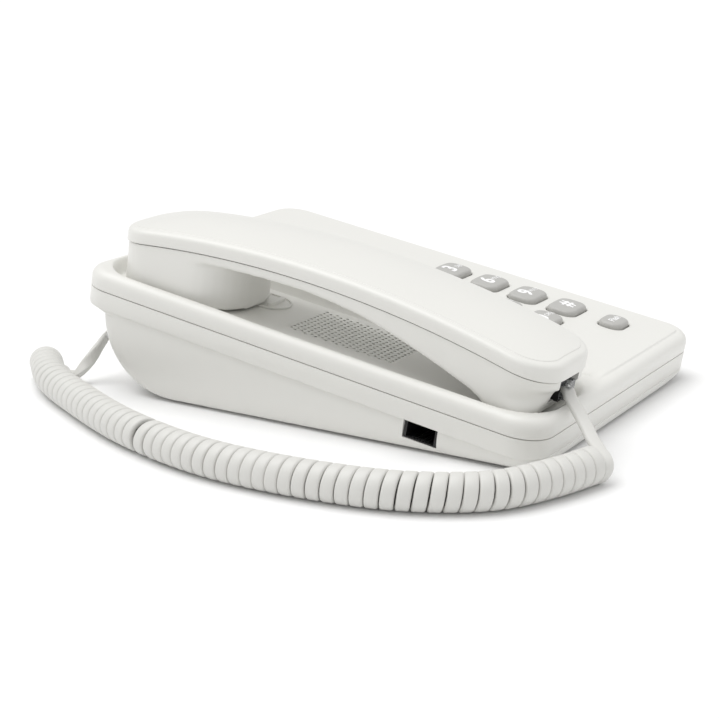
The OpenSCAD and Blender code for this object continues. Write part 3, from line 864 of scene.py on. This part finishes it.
def lower_shell(material):
    outline, n, outer = lower_rings(0)
    inner = lower_rings(WALL)[2]

    def tilted(d, v):
        return level(np.column_stack([outline.ring(d), np.full(n, v)]))

    band = [tilted(d, v) for d, v in ((0.9, -0.1), (0.1, -0.2), (0, -0.45),
                                      (0, LIP_V + 0.5), (0.14, LIP_V + 0.14), (0.5, LIP_V))]
    lining = [tilted(d, v) for d, v in ((1.6, -0.1), (WALL, -0.1), (WALL, LIP_V + WALL))]
    rings = inner[::-1] + lining[::-1] + band + outer
    verts = np.vstack(rings)
    faces = [tuple(range(n))]
    for k in range(len(rings) - 1):
        for i in range(n):
            j = (i + 1) % n
            faces.append((k * n + j, k * n + i, (k + 1) * n + i, (k + 1) * n + j))
    faces.append(tuple(range((len(rings) - 1) * n, len(rings) * n))[::-1])
    shell = new_object("lower_case", upright(verts), faces, material)
    merge(shell)
    return shell


class PHONE_OT_lower_case(bpy.types.Operator):
    """Makes the lower case: band, stepped edge, swept-up rear, screw posts, keyholes and windows"""
    bl_idname = "phone.lower_case"
    bl_label = "Lower case"

    def execute(self, context):
        case = lower_shell(materials()["case"])
        posts = [prism("post", disc_points(x, y, 4.2), [(0, FLOOR_Z + 0.2), (0, 9)], place=upright) for x, y in POSTS]
        combine(case, posts, "UNION")
        cutters = [rounded_block("cut_line", (-80, -66, 38.5, 52.5), 0.4, -14.7, -7.4)]
        cutters.append(rounded_block("cut_ringer", (60, 80, 145, 155), 0.4, -4.8, -1.4))
        cutters.append(rounded_block("cut_cord", (-62.1, -51.9, 83, 113), 0.4, 16.9, 25.1, place=upright))
        for x, y in POSTS:
            levels = [(-1.5, -1), (-1.5, 5), (0, 5.001), (0, 12)]
            cutters.append(prism("cut_post", disc_points(x, y, 1.6), levels, place=upright))
        for x, y in FEET:
            cutters.append(prism("cut_foot", disc_points(x, y, 5.05), [(0, -1), (0, FLOOR_Z + 0.8)], place=upright))
        for x, y in KEYHOLES:
            cutters.append(prism("cut_hole", disc_points(x, y, 4.5), [(0, -1), (0, 5)], place=upright))
            cutters.append(rounded_block("cut_slot", (x - 2.2, x + 2.2, y - 1, y + 14.2), 2.19, -1, 5, place=upright))
        combine(case, cutters, "DIFFERENCE")
        tidy_faces(case)
        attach(case, "base")
        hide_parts("bottom_shell")
        return {"FINISHED"}


class PHONE_OT_hanger_tab(bpy.types.Operator):
    """Makes the round-ended hanger tab with its raised edge and finger rib"""
    bl_idname = "phone.hanger_tab"
    bl_label = "Hanger tab"

    def execute(self, context):
        x, u, r = TAB
        end = [(x + r * math.cos(a), u + r + r * math.sin(a)) for a in np.radians(np.linspace(180, 360, 33))]
        edge = np.array(end + [(x + r, u + 13.6), (x - r, u + 13.6)])
        middle = np.array([x, u + 8.2])
        plate = prism("plate", lambda d: middle + (edge - middle) * (1 - d / r),
                      [(0.1, FLOOR_V + 0.01), (0, FLOOR_V + 0.15), (0, FLOOR_V + 0.62), (0.15, FLOOR_V + 0.8),
                       (0.7, FLOOR_V + 0.8), (0.9, FLOOR_V + 0.35)])
        rib = rounded_block("rib", (x - 5.5, x + 5.5, u + 5.2, u + 7.4), 1.09, FLOOR_V + 0.2, FLOOR_V + 1.8, edge=0.4)
        stem = prism("stem", disc_points(x, u + 10, 2), [(0, -1.4), (0, FLOOR_V + 0.3)])
        flange = rounded_block("flange", (x - 5, x + 5, u + 7, u + 13), 0.5, -1.5, -0.1)
        tab = combine(plate, [rib, stem, flange], "UNION")
        tab.name = "hanger_tab_visual"
        tab.data.materials.clear()
        tab.data.materials.append(materials()["case"])
        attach(tab, "hanger_tab")
        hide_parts("hanger_tab")
        return {"FINISHED"}


# ------------------------------------------------------------------ handset

def handset_outline():
    x0, x1, u0, u1 = HAND
    xs = stations((x0 + HAND_R, x1 - HAND_R, 2))
    us = stations((u0 + HAND_R, u1 - HAND_R, 3))
    return Outline(HAND, HAND_R, xs, us, arc=12)


class PHONE_OT_handset(bpy.types.Operator):
    """Makes the handset's crowned upper shell"""
    bl_idname = "phone.handset"
    bl_label = "Handset"

    def execute(self, context):
        outline = handset_outline()
        side, crown = 5.6, 2.5
        half = (HAND[1] - HAND[0]) / 2

        def top(x, u):
            across = (x - HAND_MID_X) / half
            lengthwise = np.clip((np.abs(u - 94.5) - 70) / 24, 0, 1)
            return arch(u) + side + crown * (1 - across ** 2) * (1 - 0.7 * lengthwise ** 2)

        roll = 1.8
        outer = [(0.9, lambda x, u: arch(u) + 0.08),
                 (0.05, lambda x, u: arch(u) + 0.2),
                 (0, lambda x, u: arch(u) + 0.5),
                 (0, lambda x, u: arch(u) + side - 0.3 - roll)]
        for a in np.linspace(0, math.pi / 2, 6)[1:-1]:
            d = roll * (1 - math.cos(a))
            outer.append((d, lambda x, u, a=a: top(x, u) - 0.3 - roll * (1 - math.sin(a))))
        outer += [(roll, lambda x, u: top(x, u) - 0.3), (roll + 1.2, lambda x, u: top(x, u) - 0.25)]
        outer += [(d, None) for d in (roll + 1.45, 5, 8, 12, HAND_R - 0.3)]
        inner = [(1.2, lambda x, u: arch(u) + 0.1), (2, lambda x, u: arch(u) + 0.1), (2, lambda x, u: arch(u) + 3),
                 (4, lambda x, u: top(x, u) - 2.2), (HAND_R - 0.5, lambda x, u: top(x, u) - 2.2)]
        upper = shell("handset_upper", outline, outer, top, inner, lambda x, u: top(x, u) - 2.2, materials()["case"])
        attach(upper, "handset")
        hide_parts("handset_upper_shell")
        return {"FINISHED"}


THROAT = ((23, 3.4), (31, 8.5), (44, 12.9), (55, 16.1), (69, 19.8), (79, 21.8), (97, 23.8), (103, 24.0))


def mouth_block(g):
    """Mouthpiece and throat as level plans: front face leaning back, rear edge climbing the throat."""
    us, vs = np.array(THROAT).T
    verts, faces = [], []
    levels = [CUP_V + g] + list(np.linspace(CUP_V + g + 0.6, 24.0, 26)) + [27.5]
    for v in levels:
        lean = np.clip((18 - v) / 14.6, -0.3, 1)
        r = 15 + lean - g
        end = np.interp(v - 0.8 * g, vs, us) - 0.5 * g if v < 24 else 103 - 0.5 * g
        box = (HAND[0] + 0.5 + g, HAND[1] - 0.5 - g, 4 + 5.5 * lean + g, end)
        r = min(r, (end - box[2]) / 2)
        ring = [(box[1] - r + r * math.cos(a), box[2] + r + r * math.sin(a))
                for a in np.radians(np.linspace(-90, 0, 12))]
        ring += [(box[1], end), (box[0], end)]
        ring += [(box[0] + r + r * math.cos(a), box[2] + r + r * math.sin(a))
                 for a in np.radians(np.linspace(180, 270, 12))]
        verts += [(x, u, v) for x, u in ring]
    n = len(verts) // len(levels)
    for k in range(len(levels) - 1):
        for i in range(n):
            j = (i + 1) % n
            faces.append((k * n + i, k * n + j, (k + 1) * n + j, (k + 1) * n + i))
    faces.append(tuple(range(n))[::-1])
    faces.append(tuple(range((len(levels) - 1) * n, len(levels) * n)))
    return new_object("mouth", sloped(verts), faces)


def grip_block(g):
    """The grip's full length: handset plan between two arcs that follow the seam."""
    outline = Outline((HAND[0] + 0.5 + g, HAND[1] - 0.5 - g, HAND[2] + 0.5 + g, HAND[3] - 0.5 - g), HAND_R - g)
    low = lambda x, u: arch(u) - 4.0 + g
    high = lambda x, u: arch(u) + 3.0
    top, top_faces = outline.dome([(0, high)], high)
    under, under_faces = outline.dome([(0, low)], low, first=len(top))
    n = len(outline.ring(0))
    faces = top_faces + [f[::-1] for f in under_faces]
    for i in range(n):
        j = (i + 1) % n
        faces.append((j, i, len(top) + i, len(top) + j))
    return new_object("grip", sloped(np.vstack([top, under])), faces)


def ear_blocks(g):
    """Ear cup: wide round corners towards the grip, those of the handset at its rear."""
    left, right, rear = HAND[0] + 0.5 + g, HAND[1] - 0.5 - g, HAND[3] - 0.6 - g
    return [rounded_block("ear", (left, right, 137.2 + g, rear), 20 - g, CUP_V + g, 27),
            rounded_block("ear_rear", (left, right, 156 + g, rear), HAND_R - g, CUP_V + g, 27.1)]


def seam_cutter():
    """Everything above the handset's seam."""
    us = np.linspace(-8, 204, 107)
    profile = [(u, float(arch(u)) - 0.28) for u in us] + [(204, 70), (-8, 70)]
    n = len(profile)
    verts = [(x, u, v) for x in (-80, -12) for u, v in profile]
    faces = [tuple(range(n))[::-1], tuple(range(n, 2 * n))]
    faces += [(i, (i + 1) % n, n + (i + 1) % n, n + i) for i in range(n)]
    return new_object("above", sloped(verts), faces)


class PHONE_OT_handset_lower(bpy.types.Operator):
    """Makes the handset's lower shell: grip, throat, mouthpiece and ear cup in one soft form"""
    bl_idname = "phone.handset_lower"
    bl_label = "Handset lower shell"

    def execute(self, context):
        body = combine(mouth_block(0), [grip_block(0), *ear_blocks(0)], "UNION")
        remesh = body.modifiers.new("remesh", "REMESH")
        remesh.mode = "VOXEL"
        remesh.voxel_size = 0.00075
        soften = body.modifiers.new("soften", "SMOOTH")
        soften.factor = 0.5
        soften.iterations = 9
        apply_modifiers(body)
        combine(body, [seam_cutter()], "DIFFERENCE")
        room = combine(mouth_block(2.2), [grip_block(2.2), *ear_blocks(2.2)], "UNION")
        pillars = [prism("pillar", disc_points(x, u, 4), [(0, 0), (0, v + 3)]) for x, u, v in HAND_SCREWS]
        combine(room, pillars, "DIFFERENCE")
        cutters = [room, rounded_block("cut_plug", (-54.3, -39.1, -5, 12), 0.6, 7.8, 19)]
        for x, u, v in HAND_SCREWS:
            cutters.append(prism("cut_head", disc_points(x, u, 2.6), [(0, -2), (0, v)]))
            cutters.append(prism("cut_shank", disc_points(x, u, 1.4), [(0, -2), (0, 40)]))
        cutters.append(punches("cut_ear", (-45.7, 167, 3), Rows=7, Columns=7, Radius=0.8, Reach=11.0, Depth=9.0,
                               **{"Column spacing": 3.4, "Row spacing": 3.4, "Stagger": 0.0}))
        cutters.append(punches("cut_mouth", (-55.2, 16.6, 3), Rows=1, Columns=3, Radius=0.7, Depth=9.0,
                               **{"Column spacing": 3.0, "Row spacing": 3.0, "Stagger": 0.0}))
        combine(body, cutters, "DIFFERENCE")
        tidy_faces(body)
        body.name = "handset_lower"
        body.data.materials.clear()
        body.data.materials.append(materials()["case"])
        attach(body, "handset")
        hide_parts("handset_lower_shell")
        return {"FINISHED"}


# ------------------------------------------------------------------ keys

LETTERS = dict(zip("234567890", ("ABC", "DEF", "GHI", "JKL", "MNO", "PQRS", "TUV", "WXYZ", "OPER")))
SIGNS = {"star": "*", "hash": "#"}


def key_top(x, u, w, d, middle_x, middle_u):
    """Height of a keycap's gently domed top."""
    return FACE_V + 2.4 - 0.55 * ((x - middle_x) / (w / 2)) ** 2 - 0.35 * ((u - middle_u) / (d / 2)) ** 2


def slice_up(mesh, step):
    """Cuts a mesh along a grid, so that its long faces can follow a curved surface."""
    bm = bmesh.new()
    bm.from_mesh(mesh)
    for axis, normal in enumerate(((1, 0, 0), (0, 1, 0))):
        spread = [v.co[axis] for v in bm.verts]
        for place in np.arange(min(spread) + step / 2, max(spread), step):
            bmesh.ops.bisect_plane(bm, geom=bm.verts[:] + bm.edges[:] + bm.faces[:], dist=1e-5,
                                   plane_co=Vector(normal) * place, plane_no=normal)
    bm.to_mesh(mesh)
    bm.free()


def legend(text, size, middle, height, rise=0.025):
    """Flat lettering centred on (x, u), laid on a surface height(x, u)."""
    curve = bpy.data.curves.new("legend", "FONT")
    curve.body = text
    curve.size = size
    curve.align_x = "CENTER"
    curve.align_y = "CENTER"
    curve.extrude = 0.02
    curve.resolution_u = 4
    obj = bpy.data.objects.new("legend", curve)
    bpy.context.collection.objects.link(obj)
    graph = bpy.context.evaluated_depsgraph_get()
    mesh = bpy.data.meshes.new_from_object(obj.evaluated_get(graph))
    bpy.data.objects.remove(obj)
    slice_up(mesh, 0.9)
    p = np.array([v.co[:] for v in mesh.vertices])
    p[:, :2] -= (p[:, :2].min(axis=0) + p[:, :2].max(axis=0)) / 2
    x, u = p[:, 0] + middle[0], p[:, 1] + middle[1]
    mesh.vertices.foreach_set("co", sloped(np.column_stack([x, u, height(x, u) + p[:, 2] + rise])).ravel())
    mesh.materials.clear()
    mesh.materials.append(materials()["legends"])
    made = bpy.data.objects.new("legend", mesh)
    bpy.context.collection.objects.link(made)
    return made


def bold_legend(text, size, middle, height, swell):
    """Lettering thickened by swell on every side, from copies one hundredth of a millimetre apart in height."""
    steps = [(-swell, -swell), (swell, -swell), (-swell, swell), (swell, swell)]
    return [legend(text, size, (middle[0] + i, middle[1] + j), height, 0.025 + 0.01 * k)
            for k, (i, j) in enumerate(steps)]


def keycap(name, x, u, w, d):
    """Cap with a skirt, a rolled shoulder and a gently domed top."""
    r = 4.0
    box = (x - w / 2, x + w / 2, u - d / 2, u + d / 2)
    outline = Outline(box, r, stations((box[0] + r, box[1] - r, 1.0)), stations((box[2] + r, box[3] - r, 1.0)), arc=10)
    top = lambda a, b: key_top(a, b, w, d, x, u)
    roll = 1.3
    outer = [(0.0, 4.4), (0.05, FACE_V - 0.2)]
    for a in np.linspace(0, math.pi / 2, 7)[:-1]:
        inset = 0.1 + roll * (1 - math.cos(a))
        outer.append((inset, lambda p, q, a=a: top(p, q) - roll * (1 - math.sin(a))))
    outer += [(0.1 + roll, None), (2.4, None), (3.6, None)]
    inner = [(1.2, 4.4), (1.2, 6.6), (3.6, 6.8)]
    return shell(name, outline, outer, top, inner, lambda a, b: 0 * a + 6.8, materials()["keys"], sharp=40)


class PHONE_OT_keys(bpy.types.Operator):
    """Makes the number and function keycaps with their printed legends"""
    bl_idname = "phone.keys"
    bl_label = "Keys"

    def execute(self, context):
        for name, x, u in key_places():
            w, d = KEY_SIZE
            top = lambda a, b, x=x, u=u, w=w, d=d: key_top(a, b, w, d, x, u)
            sign = SIGNS.get(name, name)
            middle = (x - 1.9, u + 0.5) if name in LETTERS else (x, u)
            parts = [keycap("cap", x, u, w, d)] + bold_legend(sign, 9.2, middle, top, 0.22)
            if name in LETTERS:
                parts.append(legend(LETTERS[name], 3.1, (x + 4.9, u - 0.2), top))
            self.settle(parts, name)
        for name, x, u in function_places():
            w, d = FUNCTION_SIZE
            top = lambda a, b, x=x, u=u, w=w, d=d: key_top(a, b, w, d, x, u)
            self.settle([keycap("cap", x, u, w, d)] + bold_legend(name.capitalize(), 3.9, (x, u), top, 0.08), name)
        return {"FINISHED"}

    def settle(self, parts, name):
        key = join("keycap_" + name, parts)
        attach(key, "key_" + name)
        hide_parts("key_" + name)


# ------------------------------------------------------------------ CAD nodes that stay

class PHONE_OT_inner_parts(bpy.types.Operator):
    """Gives every CAD node that stays its finish"""
    bl_idname = "phone.inner_parts"
    bl_label = "Inner parts"

    def execute(self, context):
        slots = {row["node"]: row["material_slot"] for row in frame["record"]["subparts"]}
        finish = {"case_plastic": "case", "key_plastic": "keys", "silicone": "silicone", "rubber": "rubber",
                  "circuit_board": "board", "steel": "steel", "dark_plastic": "dark",
                  "clear_plastic": "clear", "cord_jacket": "cord"}
        for name, node in frame["nodes"].items():
            if not node.hide_render:
                node.data.materials.clear()
                node.data.materials.append(materials()[finish[slots[name]]])
        return {"FINISHED"}


# ------------------------------------------------------------------ add-on

class PHONE_PT_panel(bpy.types.Panel):
    """Lists the phone's pieces in the sidebar"""
    bl_idname = "PHONE_PT_panel"
    bl_label = "Phone"
    bl_space_type = "VIEW_3D"
    bl_region_type = "UI"
    bl_category = "Phone"

    def draw(self, context):
        for group in (context.scene.phone_cord, context.scene.phone_colours, context.scene.phone_stage):
            for name in group.__annotations__:
                self.layout.prop(group, name)
        for operator in PIECES:
            self.layout.operator(operator.bl_idname)


PIECES = (PHONE_OT_stage, PHONE_OT_cord, PHONE_OT_upper_case, PHONE_OT_lower_case, PHONE_OT_hanger_tab,
          PHONE_OT_handset, PHONE_OT_handset_lower, PHONE_OT_keys, PHONE_OT_inner_parts)
SETTINGS = {"phone_cord": PhoneCordSettings, "phone_colours": PhoneColours, "phone_stage": PhoneStageSettings}


def register():
    for name, group in SETTINGS.items():
        bpy.utils.register_class(group)
        setattr(bpy.types.Scene, name, bpy.props.PointerProperty(type=group))
    for cls in (*PIECES, PHONE_PT_panel):
        bpy.utils.register_class(cls)


def unregister():
    for cls in (PHONE_PT_panel, *reversed(PIECES)):
        bpy.utils.unregister_class(cls)
    for name, group in SETTINGS.items():
        delattr(bpy.types.Scene, name)
        bpy.utils.unregister_class(group)


def main():
    register()
    for operator in PIECES:
        group, name = operator.bl_idname.split(".")
        getattr(getattr(bpy.ops, group), name)()
    bpy.context.view_layer.update()


if __name__ == "__main__":
    main()
